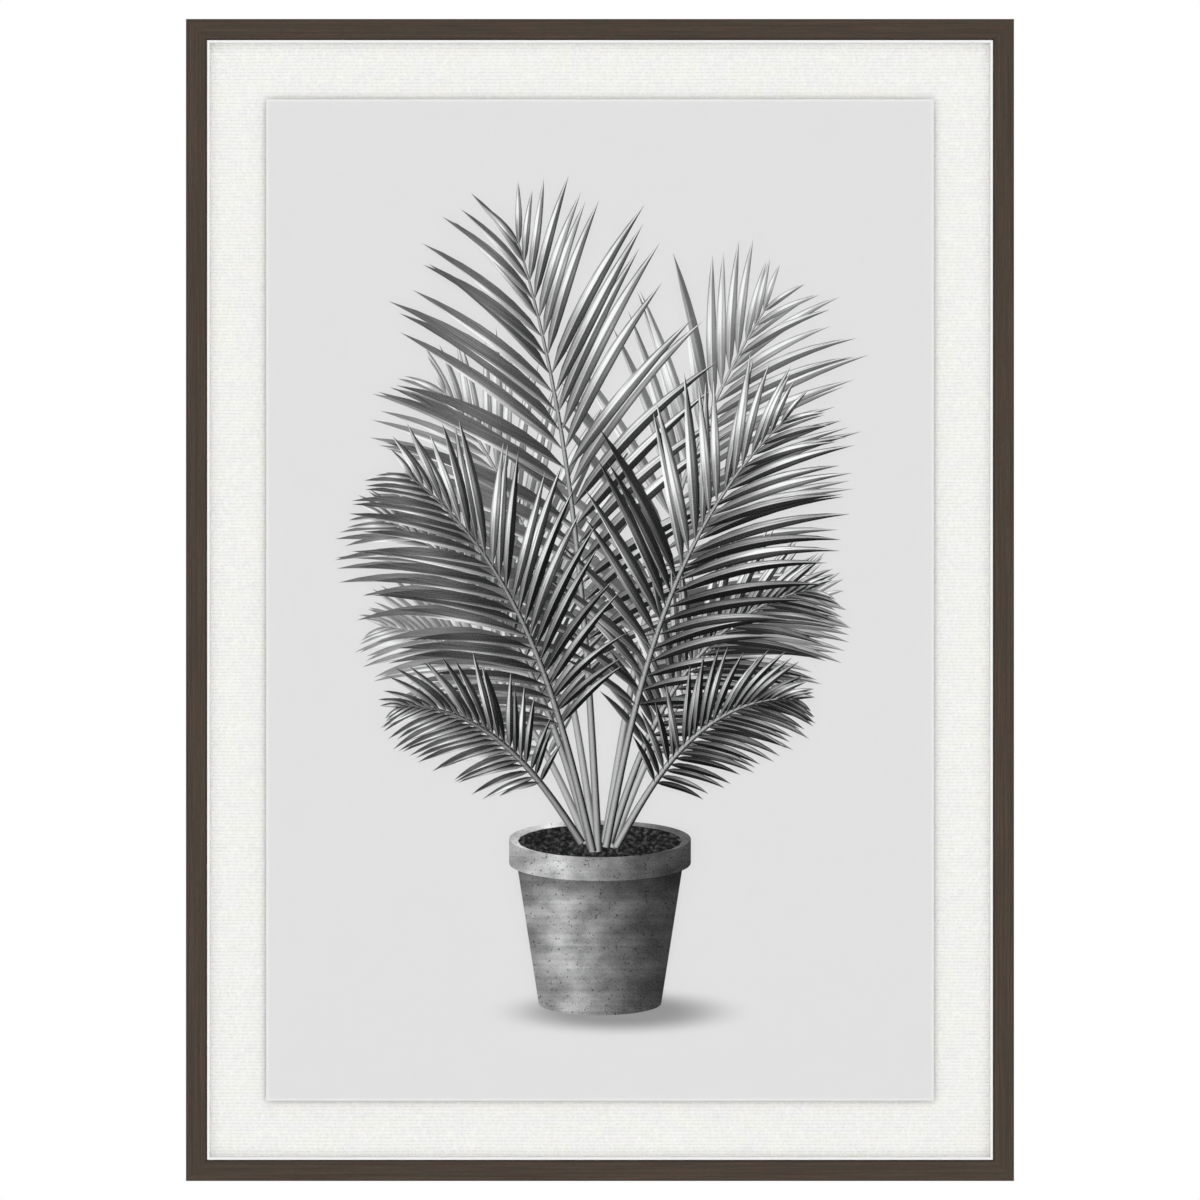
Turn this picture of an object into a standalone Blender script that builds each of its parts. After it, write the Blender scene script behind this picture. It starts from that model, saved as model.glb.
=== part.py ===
"""Framed wall print: a paper print floated on linen, behind clear acrylic, in a stained wood frame.

Units are metres. Z is up, X runs to the right as the viewer sees the front, and the picture faces -Y.
The wall is the plane y = 0. The origin is on the wall, midway between the two sawtooth hangers and
level with the roots of their teeth, where the wall's nails bear.
"""

import math

import bmesh
import bpy

INCH = 0.0254
GAP = 0.0003

# The print and its border set the size of everything else.
PRINT_WIDTH = 24 * INCH
PRINT_HEIGHT = 36 * INCH
BORDER = 2.125 * INCH

# Moulding of the frame, as a section across one rail.
FACE_WIDTH = 0.75 * INCH
RAIL_DEPTH = 1.125 * INCH
RABBET_WIDTH = 0.25 * INCH
LIP_THICKNESS = 0.003
OUTER_ARRIS = 0.0012
SIGHT_ARRIS = 0.0013
ARRIS_STEPS = 4

# A white fillet lines the sight edge, from below its arris to the acrylic.
FILLET_WIDTH = 0.0025

# Layers inside the rabbet, from the front to the back.
GLAZING_THICKNESS = 0.0015
SPACER_DEPTH = 0.25 * INCH
LINEN_THICKNESS = 0.0006
MOUNT_THICKNESS = 0.003
BACKING_THICKNESS = 0.005
BOARD_CLEARANCE = 0.001

# The print stands off the linen on a smaller riser board.
RISER_THICKNESS = 3 / 16 * INCH
RISER_INSET = 0.012
PRINT_THICKNESS = 0.0008

# Framer's points hold the layers in from behind.
POINT_LENGTH = 0.014
POINT_WIDTH = 0.006
POINT_THICKNESS = 0.0005
POINTS_ON_LONG_SIDE = 4
POINTS_ON_SHORT_SIDE = 2

# What is on the back.
BACK_STANDOFF = 0.0045
DUST_COVER_THICKNESS = 0.0004
DUST_COVER_INSET = 0.003
BUMPER_RADIUS = 0.006
BUMPER_INSET = 0.0085
BUMPER_ROUNDING = 0.0008

HANGER_DROP = 0.0095
HANGER_SPREAD = 0.42
HANGER_LENGTH = 0.045
HANGER_RISE = 0.0065
HANGER_TAB = 0.008
HANGER_THICKNESS = 0.001
HANGER_BOW = 0.002
TOOTH_PITCH = 0.0025
TOOTH_DEPTH = 0.0018
NAIL_HEAD_RADIUS = 0.0018
NAIL_HEAD_HEIGHT = 0.0009
NAIL_HEAD_TAPER = 0.7

# Sizes that follow from these.
SIGHT_WIDTH = PRINT_WIDTH + 2 * BORDER
SIGHT_HEIGHT = PRINT_HEIGHT + 2 * BORDER
OUTER_WIDTH = SIGHT_WIDTH + 2 * FACE_WIDTH
OUTER_HEIGHT = SIGHT_HEIGHT + 2 * FACE_WIDTH
RABBET_SPAN_WIDTH = SIGHT_WIDTH + 2 * RABBET_WIDTH
RABBET_SPAN_HEIGHT = SIGHT_HEIGHT + 2 * RABBET_WIDTH
BOARD_WIDTH = RABBET_SPAN_WIDTH - 2 * BOARD_CLEARANCE
BOARD_HEIGHT = RABBET_SPAN_HEIGHT - 2 * BOARD_CLEARANCE
SPACER_WIDTH = RABBET_WIDTH - BOARD_CLEARANCE + FILLET_WIDTH

TOP = HANGER_DROP
BOTTOM = TOP - OUTER_HEIGHT
MIDDLE = (TOP + BOTTOM) / 2

RAIL_BACK = -BACK_STANDOFF
RAIL_FRONT = RAIL_BACK - RAIL_DEPTH
GLAZING_FRONT = RAIL_FRONT + LIP_THICKNESS + GAP
SPACER_FRONT = GLAZING_FRONT + GLAZING_THICKNESS + GAP
LINEN_FRONT = SPACER_FRONT + SPACER_DEPTH + GAP
MOUNT_FRONT = LINEN_FRONT + LINEN_THICKNESS + GAP
BACKING_FRONT = MOUNT_FRONT + MOUNT_THICKNESS + GAP
POINT_FRONT = BACKING_FRONT + BACKING_THICKNESS + GAP
RISER_FRONT = LINEN_FRONT - GAP - RISER_THICKNESS
PRINT_FRONT = RISER_FRONT - GAP - PRINT_THICKNESS
DUST_COVER_FRONT = RAIL_BACK + GAP
DUST_COVER_BACK = DUST_COVER_FRONT + DUST_COVER_THICKNESS
HARDWARE_FRONT = DUST_COVER_BACK + GAP


def clear_scene():
    """Remove whatever the file opened with."""
    for item in list(bpy.data.objects):
        bpy.data.objects.remove(item, do_unlink=True)


def linear(hex_colour):
    """An sRGB hex colour as the linear values that a shader takes."""
    channels = [int(hex_colour[i : i + 2], 16) / 255 for i in (1, 3, 5)]
    return [c / 12.92 if c <= 0.04045 else ((c + 0.055) / 1.055) ** 2.4 for c in channels] + [1.0]


def finish(name, hex_colour, roughness, metallic=0.0, alpha=1.0):
    """A plain Principled material."""
    material = bpy.data.materials.new(name)
    material.use_nodes = True
    shader = material.node_tree.nodes["Principled BSDF"]
    shader.inputs["Base Color"].default_value = linear(hex_colour)
    shader.inputs["Roughness"].default_value = roughness
    shader.inputs["Metallic"].default_value = metallic
    shader.inputs["Alpha"].default_value = alpha
    return material


def add_object(name, mesh, material, location, parent, collection):
    """Put a mesh in the scene as one named piece, hung from the frame's empty."""
    mesh.materials.append(material)
    piece = bpy.data.objects.new(name, mesh)
    piece.location = location
    piece.parent = parent
    collection.objects.link(piece)
    return piece


def board(name, width, height, thickness, front, material, parent, collection, x=0.0, z=MIDDLE):
    """A flat rectangular piece parallel to the wall, placed by its front face and its middle."""
    bm = bmesh.new()
    bmesh.ops.create_cube(bm, size=1.0)
    bmesh.ops.scale(bm, vec=(width, thickness, height), verts=bm.verts)
    mesh = bpy.data.meshes.new(name)
    bm.to_mesh(mesh)
    bm.free()
    location = (x, front + thickness / 2, z)
    return add_object(name, mesh, material, location, parent, collection)


def arris(centre, radius, start_degrees):
    """A quarter-round corner of the moulding's section, as points a quarter turn on from the start."""
    points = []
    for step in range(ARRIS_STEPS + 1):
        angle = math.radians(start_degrees + 90 * step / ARRIS_STEPS)
        points.append((centre[0] + radius * math.cos(angle), centre[1] + radius * math.sin(angle)))
    return points


def moulding_section():
    """The rail's L section: distance in from the outer edge, and depth behind the front face."""
    outer_corner = arris((OUTER_ARRIS, OUTER_ARRIS), OUTER_ARRIS, 180)
    sight_corner = arris((FACE_WIDTH - SIGHT_ARRIS, SIGHT_ARRIS), SIGHT_ARRIS, 270)
    rabbet = [
        (FACE_WIDTH, LIP_THICKNESS),
        (FACE_WIDTH - RABBET_WIDTH, LIP_THICKNESS),
        (FACE_WIDTH - RABBET_WIDTH, RAIL_DEPTH),
    ]
    return outer_corner + sight_corner + rabbet + [(0.0, RAIL_DEPTH)]


def fillet_section():
    """The white fillet beside the sight edge, measured as the rail's section is."""
    near_edge = FACE_WIDTH + GAP
    far_edge = FACE_WIDTH + FILLET_WIDTH
    return [
        (near_edge, SIGHT_ARRIS),
        (far_edge, SIGHT_ARRIS),
        (far_edge, LIP_THICKNESS),
        (near_edge, LIP_THICKNESS),
    ]


def mitred_strip(name, section, length, location, turn_degrees, material, parent, collection):
    """One side of the frame: a section drawn out along X, with both ends cut at 45 degrees.

    Inward is +Z in the strip's own frame, so each end's points slide in by their distance from the
    outer edge. Half of the glue line is left open at each mitre.
    """
    half_glue_line = GAP / math.sqrt(2)
    bm = bmesh.new()
    end = []
    for inward, depth in section:
        x = -length / 2 + inward + half_glue_line
        end.append(bm.verts.new((x, depth, inward)))
    cut_face = bm.faces.new(end)
    drawn = bmesh.ops.extrude_face_region(bm, geom=[cut_face])
    for item in drawn["geom"]:
        if isinstance(item, bmesh.types.BMVert):
            item.co.x = -item.co.x
    bmesh.ops.recalc_face_normals(bm, faces=bm.faces)
    mesh = bpy.data.meshes.new(name)
    bm.to_mesh(mesh)
    bm.free()
    strip = add_object(name, mesh, material, location, parent, collection)
    strip.rotation_euler.y = math.radians(turn_degrees)
    return strip


def frame_sides(parent, collection):
    """Four rails of one moulding, mitred at the corners, and the white fillet inside them."""
    wood = finish("stained_wood", "#4D433A", 0.55)
    white = finish("white_fillet", "#FAFAF8", 0.5)
    sides = [
        ("bottom", OUTER_WIDTH, (0, RAIL_FRONT, BOTTOM), 0),
        ("left", OUTER_HEIGHT, (-OUTER_WIDTH / 2, RAIL_FRONT, MIDDLE), 90),
        ("top", OUTER_WIDTH, (0, RAIL_FRONT, TOP), 180),
        ("right", OUTER_HEIGHT, (OUTER_WIDTH / 2, RAIL_FRONT, MIDDLE), 270),
    ]
    for side, length, location, turn in sides:
        place = (length, location, turn)
        mitred_strip(f"rail_{side}", moulding_section(), *place, wood, parent, collection)
        mitred_strip(f"fillet_{side}", fillet_section(), *place, white, parent, collection)


def spacers(parent, collection):
    """White strips behind the fillet that keep the acrylic off the print."""
    white = finish("spacer_plastic", "#F8F8F6", 0.6)
    across = BOARD_WIDTH
    upright = BOARD_HEIGHT - 2 * SPACER_WIDTH - 2 * GAP
    from_middle_x = (BOARD_WIDTH - SPACER_WIDTH) / 2
    from_middle_z = (BOARD_HEIGHT - SPACER_WIDTH) / 2
    strips = [
        ("spacer_top", across, SPACER_WIDTH, 0.0, MIDDLE + from_middle_z),
        ("spacer_bottom", across, SPACER_WIDTH, 0.0, MIDDLE - from_middle_z),
        ("spacer_left", SPACER_WIDTH, upright, -from_middle_x, MIDDLE),
        ("spacer_right", SPACER_WIDTH, upright, from_middle_x, MIDDLE),
    ]
    for name, width, height, x, z in strips:
        board(name, width, height, SPACER_DEPTH, SPACER_FRONT, white, parent, collection, x, z)


def layers(parent, collection):
    """The flat layers: acrylic, print on its riser, linen on its board, backing and dust cover."""
    acrylic = finish("clear_acrylic", "#F7FAFA", 0.03, alpha=0.08)
    paper = finish("print_paper", "#E1E1E1", 0.7)
    foam = finish("foam_board", "#F1F1EE", 0.8)
    linen = finish("woven_linen", "#F0F0ED", 0.9)
    rag = finish("rag_board", "#E9E7E1", 0.85)
    card = finish("corrugated_card", "#A98D66", 0.85)
    kraft = finish("kraft_paper", "#9A7B55", 0.8)
    riser_size = (PRINT_WIDTH - 2 * RISER_INSET, PRINT_HEIGHT - 2 * RISER_INSET)
    board_size = (BOARD_WIDTH, BOARD_HEIGHT)
    cover_size = (OUTER_WIDTH - 2 * DUST_COVER_INSET, OUTER_HEIGHT - 2 * DUST_COVER_INSET)
    stack = [
        ("glazing", board_size, GLAZING_THICKNESS, GLAZING_FRONT, acrylic),
        ("print_sheet", (PRINT_WIDTH, PRINT_HEIGHT), PRINT_THICKNESS, PRINT_FRONT, paper),
        ("riser_board", riser_size, RISER_THICKNESS, RISER_FRONT, foam),
        ("linen_cover", board_size, LINEN_THICKNESS, LINEN_FRONT, linen),
        ("mount_board", board_size, MOUNT_THICKNESS, MOUNT_FRONT, rag),
        ("backing_board", board_size, BACKING_THICKNESS, BACKING_FRONT, card),
        ("dust_cover", cover_size, DUST_COVER_THICKNESS, DUST_COVER_FRONT, kraft),
    ]
    for name, size, thickness, front, material in stack:
        board(name, *size, thickness, front, material, parent, collection)


def framers_points(parent, collection):
    """Flat steel tongues that reach in from the rabbet's wall over the back of the backing board."""
    steel = finish("zinc_plated_steel", "#B9BCBE", 0.35, 1.0)
    from_middle_x = RABBET_SPAN_WIDTH / 2 - GAP - POINT_LENGTH / 2
    from_middle_z = RABBET_SPAN_HEIGHT / 2 - GAP - POINT_LENGTH / 2
    places = []
    for count in range(POINTS_ON_LONG_SIDE):
        z = MIDDLE + SIGHT_HEIGHT * ((count + 0.5) / POINTS_ON_LONG_SIDE - 0.5)
        places += [(side * from_middle_x, z, POINT_LENGTH, POINT_WIDTH) for side in (-1, 1)]
    for count in range(POINTS_ON_SHORT_SIDE):
        x = SIGHT_WIDTH * ((count + 0.5) / POINTS_ON_SHORT_SIDE - 0.5)
        places += [(x, MIDDLE + side * from_middle_z, POINT_WIDTH, POINT_LENGTH) for side in (-1, 1)]
    for number, (x, z, width, height) in enumerate(places, start=1):
        name = f"framers_point_{number:02d}"
        board(name, width, height, POINT_THICKNESS, POINT_FRONT, steel, parent, collection, x, z)


def sawtooth_hanger(name, x, material, parent, collection):
    """A pressed steel plate with teeth along its lower edge, bowed away from the rail between its tabs."""
    half_length = HANGER_LENGTH / 2
    bowed_half = half_length - HANGER_TAB
    teeth = round(2 * bowed_half / TOOTH_PITCH)
    half_pitch = bowed_half / teeth
    columns = [(-half_length, -TOOTH_DEPTH)]
    for step in range(2 * teeth + 1):
        at_tip = step % 2 == 0
        columns.append((-bowed_half + step * half_pitch, -TOOTH_DEPTH if at_tip else 0.0))
    columns.append((half_length, -TOOTH_DEPTH))

    bm = bmesh.new()
    rows = []
    for along, low in columns:
        bow = HANGER_BOW * math.sqrt(max(0.0, 1 - (along / bowed_half) ** 2))
        out = HANGER_THICKNESS / 2 + bow
        rows.append([bm.verts.new((along, out, low)), bm.verts.new((along, out, HANGER_RISE))])
    for left, right in zip(rows, rows[1:]):
        bm.faces.new([left[0], right[0], right[1], left[1]])
    mesh = bpy.data.meshes.new(name)
    bm.to_mesh(mesh)
    bm.free()
    plate = add_object(name, mesh, material, (x, HARDWARE_FRONT, 0), parent, collection)
    thicken = plate.modifiers.new("plate thickness", "SOLIDIFY")
    thicken.thickness = HANGER_THICKNESS
    thicken.offset = 0
    return plate


def nail_head(name, x, z, material, parent, collection):
    """The low domed head of a panel pin, on the hanger's tab."""
    bm = bmesh.new()
    bmesh.ops.create_cone(
        bm,
        cap_ends=True,
        segments=16,
        radius1=NAIL_HEAD_RADIUS,
        radius2=NAIL_HEAD_RADIUS * NAIL_HEAD_TAPER,
        depth=NAIL_HEAD_HEIGHT,
    )
    mesh = bpy.data.meshes.new(name)
    bm.to_mesh(mesh)
    bm.free()
    y = HARDWARE_FRONT + HANGER_THICKNESS + GAP + NAIL_HEAD_HEIGHT / 2
    head = add_object(name, mesh, material, (x, y, z), parent, collection)
    head.rotation_euler.x = math.radians(-90)
    return head


def hangers(parent, collection):
    """Two hangers on the back of the top rail, each held by a pin through each tab."""
    brass = finish("brass_plated_steel", "#B8A06A", 0.35, 1.0)
    nail_height = (HANGER_RISE - TOOTH_DEPTH) / 2
    nail_reach = (HANGER_LENGTH - HANGER_TAB) / 2
    for side, word in ((-1, "left"), (1, "right")):
        x = side * HANGER_SPREAD / 2
        sawtooth_hanger(f"sawtooth_hanger_{word}", x, brass, parent, collection)
        for end, place in ((-1, "outer"), (1, "inner")):
            name = f"nail_head_{word}_{place}"
            nail_head(name, x - side * end * nail_reach, nail_height, brass, parent, collection)


def bumpers(parent, collection):
    """Soft pads at the lower corners, which rest on the wall and keep the frame level."""
    rubber = finish("bumper_rubber", "#3A3A3C", 0.9)
    height = -HARDWARE_FRONT
    for side, word in ((-1, "left"), (1, "right")):
        bm = bmesh.new()
        bmesh.ops.create_cone(
            bm, cap_ends=True, segments=32, radius1=BUMPER_RADIUS, radius2=BUMPER_RADIUS, depth=height
        )
        mesh = bpy.data.meshes.new(f"bumper_{word}")
        bm.to_mesh(mesh)
        bm.free()
        x = side * (OUTER_WIDTH / 2 - BUMPER_INSET)
        z = BOTTOM + BUMPER_INSET
        pad = add_object(f"bumper_{word}", mesh, rubber, (x, -height / 2, z), parent, collection)
        pad.rotation_euler.x = math.radians(-90)
        rounding = pad.modifiers.new("rounded rim", "BEVEL")
        rounding.width = BUMPER_ROUNDING
        rounding.segments = 2
        rounding.limit_method = "ANGLE"


def build():
    clear_scene()
    collection = bpy.data.collections.new("framed_wall_print")
    bpy.context.scene.collection.children.link(collection)
    hang_point = bpy.data.objects.new("hang_point", None)
    collection.objects.link(hang_point)
    frame_sides(hang_point, collection)
    spacers(hang_point, collection)
    layers(hang_point, collection)
    framers_points(hang_point, collection)
    hangers(hang_point, collection)
    bumpers(hang_point, collection)


build()
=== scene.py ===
"""A framed wall print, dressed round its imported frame.

A black-and-white botanical print floats on a linen mount behind clear acrylic, in a slim stained wood
frame. Units are metres, the picture faces -Y, Z is up, and the wall is the plane y = 0.
"""

import math
import random

import bpy
import numpy as np
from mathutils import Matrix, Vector
from mathutils.geometry import delaunay_2d_cdt


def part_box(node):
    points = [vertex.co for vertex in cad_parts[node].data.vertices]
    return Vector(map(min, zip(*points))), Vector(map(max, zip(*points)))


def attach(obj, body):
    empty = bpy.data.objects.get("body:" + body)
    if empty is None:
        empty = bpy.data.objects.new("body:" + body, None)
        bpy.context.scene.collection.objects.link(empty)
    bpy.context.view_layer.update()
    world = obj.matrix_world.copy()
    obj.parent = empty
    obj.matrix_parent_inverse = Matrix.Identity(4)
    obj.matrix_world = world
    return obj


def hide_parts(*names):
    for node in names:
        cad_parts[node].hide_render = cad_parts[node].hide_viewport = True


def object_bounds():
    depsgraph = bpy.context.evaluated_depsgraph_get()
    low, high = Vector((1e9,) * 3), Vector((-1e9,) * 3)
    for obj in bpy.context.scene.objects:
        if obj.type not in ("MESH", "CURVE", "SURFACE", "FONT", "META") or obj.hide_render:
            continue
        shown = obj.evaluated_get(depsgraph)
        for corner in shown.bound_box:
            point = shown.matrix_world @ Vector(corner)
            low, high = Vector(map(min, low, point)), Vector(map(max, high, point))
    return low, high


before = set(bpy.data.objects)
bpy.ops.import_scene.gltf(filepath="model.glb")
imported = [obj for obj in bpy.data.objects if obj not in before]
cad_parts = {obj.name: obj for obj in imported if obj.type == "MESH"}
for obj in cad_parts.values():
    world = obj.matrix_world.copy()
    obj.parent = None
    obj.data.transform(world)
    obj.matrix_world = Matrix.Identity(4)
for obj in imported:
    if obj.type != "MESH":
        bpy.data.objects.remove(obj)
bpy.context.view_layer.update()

# ---------------------------------------------------------------------------------------------------
# Frame rails. Four lengths of a slim square moulding in oak, mitred and glued at the corners. The wood is
# stained a greyed brown and rubbed with a thin satin lacquer, which leaves the grain just visible. Along
# the sight edge and the outer arris the colour is darker: partly stain that collects there, partly painted
# shade of the rounded edges.
# ---------------------------------------------------------------------------------------------------

MILLIMETRE = 0.001


def linear(hex_colour):
    """An sRGB hex colour as linear red, green, blue and alpha."""
    channels = [int(hex_colour[i : i + 2], 16) / 255 for i in (1, 3, 5)]
    return [c / 12.92 if c <= 0.04045 else ((c + 0.055) / 1.055) ** 2.4 for c in channels] + [1.0]


def add(tree, kind, inputs=None, stops=None, **settings):
    """Adds one node, with its settings, its inputs and its colour stops.

    An input is a value, a node or one output of a node, given by its socket's name or number.
    """
    node = tree.nodes.new("ShaderNode" + kind)
    for name, value in settings.items():
        setattr(node, name, value)
    for socket, value in (inputs or {}).items():
        if isinstance(socket, str):
            into = next(s for s in node.inputs if s.enabled and s.name == socket)
        else:
            into = node.inputs[socket]
        if isinstance(value, bpy.types.Node):
            value = next(s for s in value.outputs if s.enabled)
        if isinstance(value, bpy.types.NodeSocket):
            tree.links.new(value, into)
        else:
            into.default_value = value
    if stops:
        ramp = node.color_ramp.elements
        ramp.remove(ramp[1])
        ramp[0].position, ramp[0].color = stops[0][0], linear(stops[0][1])
        for position, hex_colour in stops[1:]:
            ramp.new(position).color = linear(hex_colour)
    return node


def new_finish(name):
    """A material with no nodes yet, and its tree."""
    material = bpy.data.materials.new(name)
    material.use_nodes = True
    material.node_tree.nodes.clear()
    return material, material.node_tree


def in_marks(tree, x, y, z):
    """The piece's own coordinates, counted in marks this many millimetres long along X, Y and Z."""
    place = add(tree, "TexCoord").outputs["Object"]
    scale = [1 / (mark * MILLIMETRE) for mark in (x, y, z)]
    return add(tree, "VectorMath", {0: place, 1: scale}, operation="MULTIPLY")


def in_from_edge(tree, axis, middle, half):
    """How far in each point lies from a piece's nearer edge. Its edges are half away from its middle."""
    place = add(tree, "SeparateXYZ", {0: add(tree, "TexCoord").outputs["Object"]}).outputs
    off_middle = add(tree, "Math", {0: place[axis], 1: middle}, operation="SUBTRACT")
    outward = add(tree, "Math", {0: off_middle}, operation="ABSOLUTE")
    return add(tree, "Math", {0: half, 1: outward}, operation="SUBTRACT")


rail_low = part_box("rail_bottom")[0]
rail_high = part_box("rail_top")[1]
left_rail_low, left_rail_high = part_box("rail_left")
FRAME_MIDDLE = {"X": 0.0, "Z": (rail_low.z + rail_high.z) / 2}
FRAME_HALF = {"X": -left_rail_low.x, "Z": (rail_high.z - rail_low.z) / 2}
RAIL_FACE = left_rail_high.x - left_rail_low.x


def stained_oak(name, along):
    """Stained oak, with its grain along X or Z.

    Sawn, planed and sanded along the grain: to the eye, fine streaks and short dark pores, hardly darker
    than the ground, in a stain that takes a little redder here and greyer there.
    """
    across = "Z" if along == "X" else "X"
    material, tree = new_finish(name)

    def grain(length, width):
        """Coordinates counted in marks this long along the grain and this wide across it."""
        return in_marks(tree, length, width, width) if along == "X" else in_marks(tree, width, width, length)

    streaks = add(tree, "TexNoise", {"Vector": grain(150, 2.2), "Scale": 1.0, "Detail": 4.0})
    lines = add(tree, "TexNoise", {"Vector": grain(50, 0.7), "Scale": 1.0, "Detail": 2.0})
    clouds = add(tree, "TexNoise", {"Vector": grain(24, 5), "Scale": 1.0, "Detail": 2.0})
    # The real pores are 0.2 mm wide. They are drawn wider, so that they show.
    pores = add(tree, "TexNoise", {"Vector": grain(7, 0.5), "Scale": 1.0, "Detail": 1.0})
    pore = add(tree, "MapRange", {"Value": pores, "From Min": 0.54, "From Max": 0.70, "To Max": 0.5})

    stain = add(tree, "ValToRGB", {"Fac": streaks}, stops=[(0.28, "#3C2F20"), (0.72, "#554230")])
    tint = add(tree, "ValToRGB", {"Fac": clouds}, stops=[(0.35, "#513627"), (0.65, "#423D2C")])
    tinted = add(tree, "Mix", {"Factor": 0.36, "A": stain, "B": tint}, data_type="RGBA")
    contrast = {"Value": lines, "From Min": 0.3, "From Max": 0.7, "To Min": 0.82, "To Max": 1.18}
    shade = add(tree, "MapRange", contrast)
    lined = add(tree, "VectorMath", {0: tinted, "Scale": shade}, operation="SCALE")
    pored = add(tree, "Mix", {"Factor": pore, "A": lined, "B": linear("#332920")}, data_type="RGBA")

    # Darker stain and painted shade of the rounded edges both deepen by how far in from the frame's side a
    # point lies, and how far behind its front.
    from_side = in_from_edge(tree, across, FRAME_MIDDLE[across], FRAME_HALF[across])
    place = add(tree, "SeparateXYZ", {0: add(tree, "TexCoord").outputs["Object"]}).outputs
    from_front = add(tree, "Math", {0: place["Y"], 1: rail_low.y}, operation="SUBTRACT")
    from_arris = add(tree, "Math", {0: from_side, 1: from_front}, operation="MAXIMUM")
    sight_edge_stain_and_shade = {
        "Value": from_side,
        "From Min": RAIL_FACE - 2.0 * MILLIMETRE,
        "From Max": RAIL_FACE - 0.5 * MILLIMETRE,
        "To Min": 0.0,
        "To Max": 0.9,
    }
    arris_stain_and_shade = {
        "Value": from_arris,
        "From Min": 0.3 * MILLIMETRE,
        "From Max": 1.5 * MILLIMETRE,
        "To Min": 0.6,
        "To Max": 0.0,
    }
    edges = {0: add(tree, "MapRange", sight_edge_stain_and_shade), 1: add(tree, "MapRange", arris_stain_and_shade)}
    stain_and_painted_shade = add(tree, "Math", edges, operation="MAXIMUM")
    # Painted shade and stain together: the colour is mixed towards a deep brown along these edges.
    colour = add(tree, "Mix", {"Factor": stain_and_painted_shade, "A": pored, "B": linear("#2E1D13")}, data_type="RGBA")

    # The lacquer is a little uneven along the rail, and sinks over the pores.
    unevenness = {"Value": streaks, "From Min": 0.3, "From Max": 0.7, "To Min": 0.42, "To Max": 0.58}
    sheen = add(tree, "MapRange", unevenness)
    raised = add(tree, "Math", {0: streaks, 1: pore}, operation="SUBTRACT")
    bump = add(tree, "Bump", {"Height": raised, "Strength": 0.5, "Distance": 0.12 * MILLIMETRE})
    surface = {"Base Color": colour, "Roughness": sheen, "IOR": 1.5, "Normal": bump}
    add(tree, "OutputMaterial", {"Surface": add(tree, "BsdfPrincipled", surface)})
    return material


GLUE_LINE = 0.3 * MILLIMETRE


def glue_up(strip_name, side, material):
    """One mitred side of the frame, glued to its neighbours: both ends reach on to close the glue line."""
    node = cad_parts[f"{strip_name}_{side}"]
    mesh = node.data.copy()
    mesh.transform(node.matrix_world)
    places = np.array([vertex.co for vertex in mesh.vertices])
    axis = "X" if side in ("top", "bottom") else "Z"
    along = places[:, "XYZ".index(axis)]
    along += np.sign(along - FRAME_MIDDLE[axis]) * GLUE_LINE / math.sqrt(2)
    mesh.vertices.foreach_set("co", places.ravel())
    mesh.materials.clear()
    mesh.materials.append(material)
    strip = bpy.data.objects.new(f"glued_{strip_name}_{side}", mesh)
    bpy.context.scene.collection.objects.link(strip)
    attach(strip, "root")
    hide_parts(node.name)


level_oak = stained_oak("stained_oak_level", "X")
upright_oak = stained_oak("stained_oak_upright", "Z")
for side, wood in (("top", level_oak), ("bottom", level_oak), ("left", upright_oak), ("right", upright_oak)):
    glue_up("rail", side, wood)

# ---------------------------------------------------------------------------------------------------
# Fillet. A slim strip of white plastic lines the sight edge in front of the acrylic, mitred like the
# rails and glued to them. It shows as a thin white line round the linen.
# ---------------------------------------------------------------------------------------------------


def extruded_styrene():
    """White styrene, extruded and rubbed down: smooth, hardly shiny, a trace uneven in its white."""
    material, tree = new_finish("extruded_white_styrene")
    marks = add(tree, "TexNoise", {"Vector": in_marks(tree, 2.5, 1.5, 2.5), "Scale": 1.0})
    colour = add(tree, "ValToRGB", {"Fac": marks}, stops=[(0.3, "#F9F9F8"), (0.7, "#FDFDFC")])
    bump = add(tree, "Bump", {"Height": marks, "Strength": 0.2, "Distance": 0.03 * MILLIMETRE})
    surface = {"Base Color": colour, "Roughness": 0.5, "IOR": 1.55, "Normal": bump}
    add(tree, "OutputMaterial", {"Surface": add(tree, "BsdfPrincipled", surface)})
    return material


styrene = extruded_styrene()
for side in ("top", "bottom", "left", "right"):
    glue_up("fillet", side, styrene)

# ---------------------------------------------------------------------------------------------------
# Glazing. One sheet of cast acrylic with a low-glare coating, dropped into the rabbet behind the lip
# of the rails.
# ---------------------------------------------------------------------------------------------------


def coated_acrylic():
    """Clear cast acrylic with a low-glare coating.

    Cast between glass plates, so its surface is a true mirror, but a faint one: it reflects almost
    nothing straight on, and more at a slant.
    """
    material, tree = new_finish("coated_clear_acrylic")
    coating_ior = 1.25
    glance = add(tree, "Fresnel", {"IOR": coating_ior})
    surface = {"Base Color": linear("#F7FAFA"), "Metallic": 1.0, "Roughness": 0.02, "Alpha": glance}
    add(tree, "OutputMaterial", {"Surface": add(tree, "BsdfPrincipled", surface)})
    return material


def dress(node_name, material):
    """Gives a CAD node that keeps its own shape this material."""
    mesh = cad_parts[node_name].data
    mesh.materials.clear()
    mesh.materials.append(material)


dress("glazing", coated_acrylic())

# ---------------------------------------------------------------------------------------------------
# Spacers. Strips of white foamed plastic, cut square and laid round the rabbet behind the fillet, keep
# the acrylic off the print. Only their inner sides show, and they throw light back on the linen.
# ---------------------------------------------------------------------------------------------------


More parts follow.
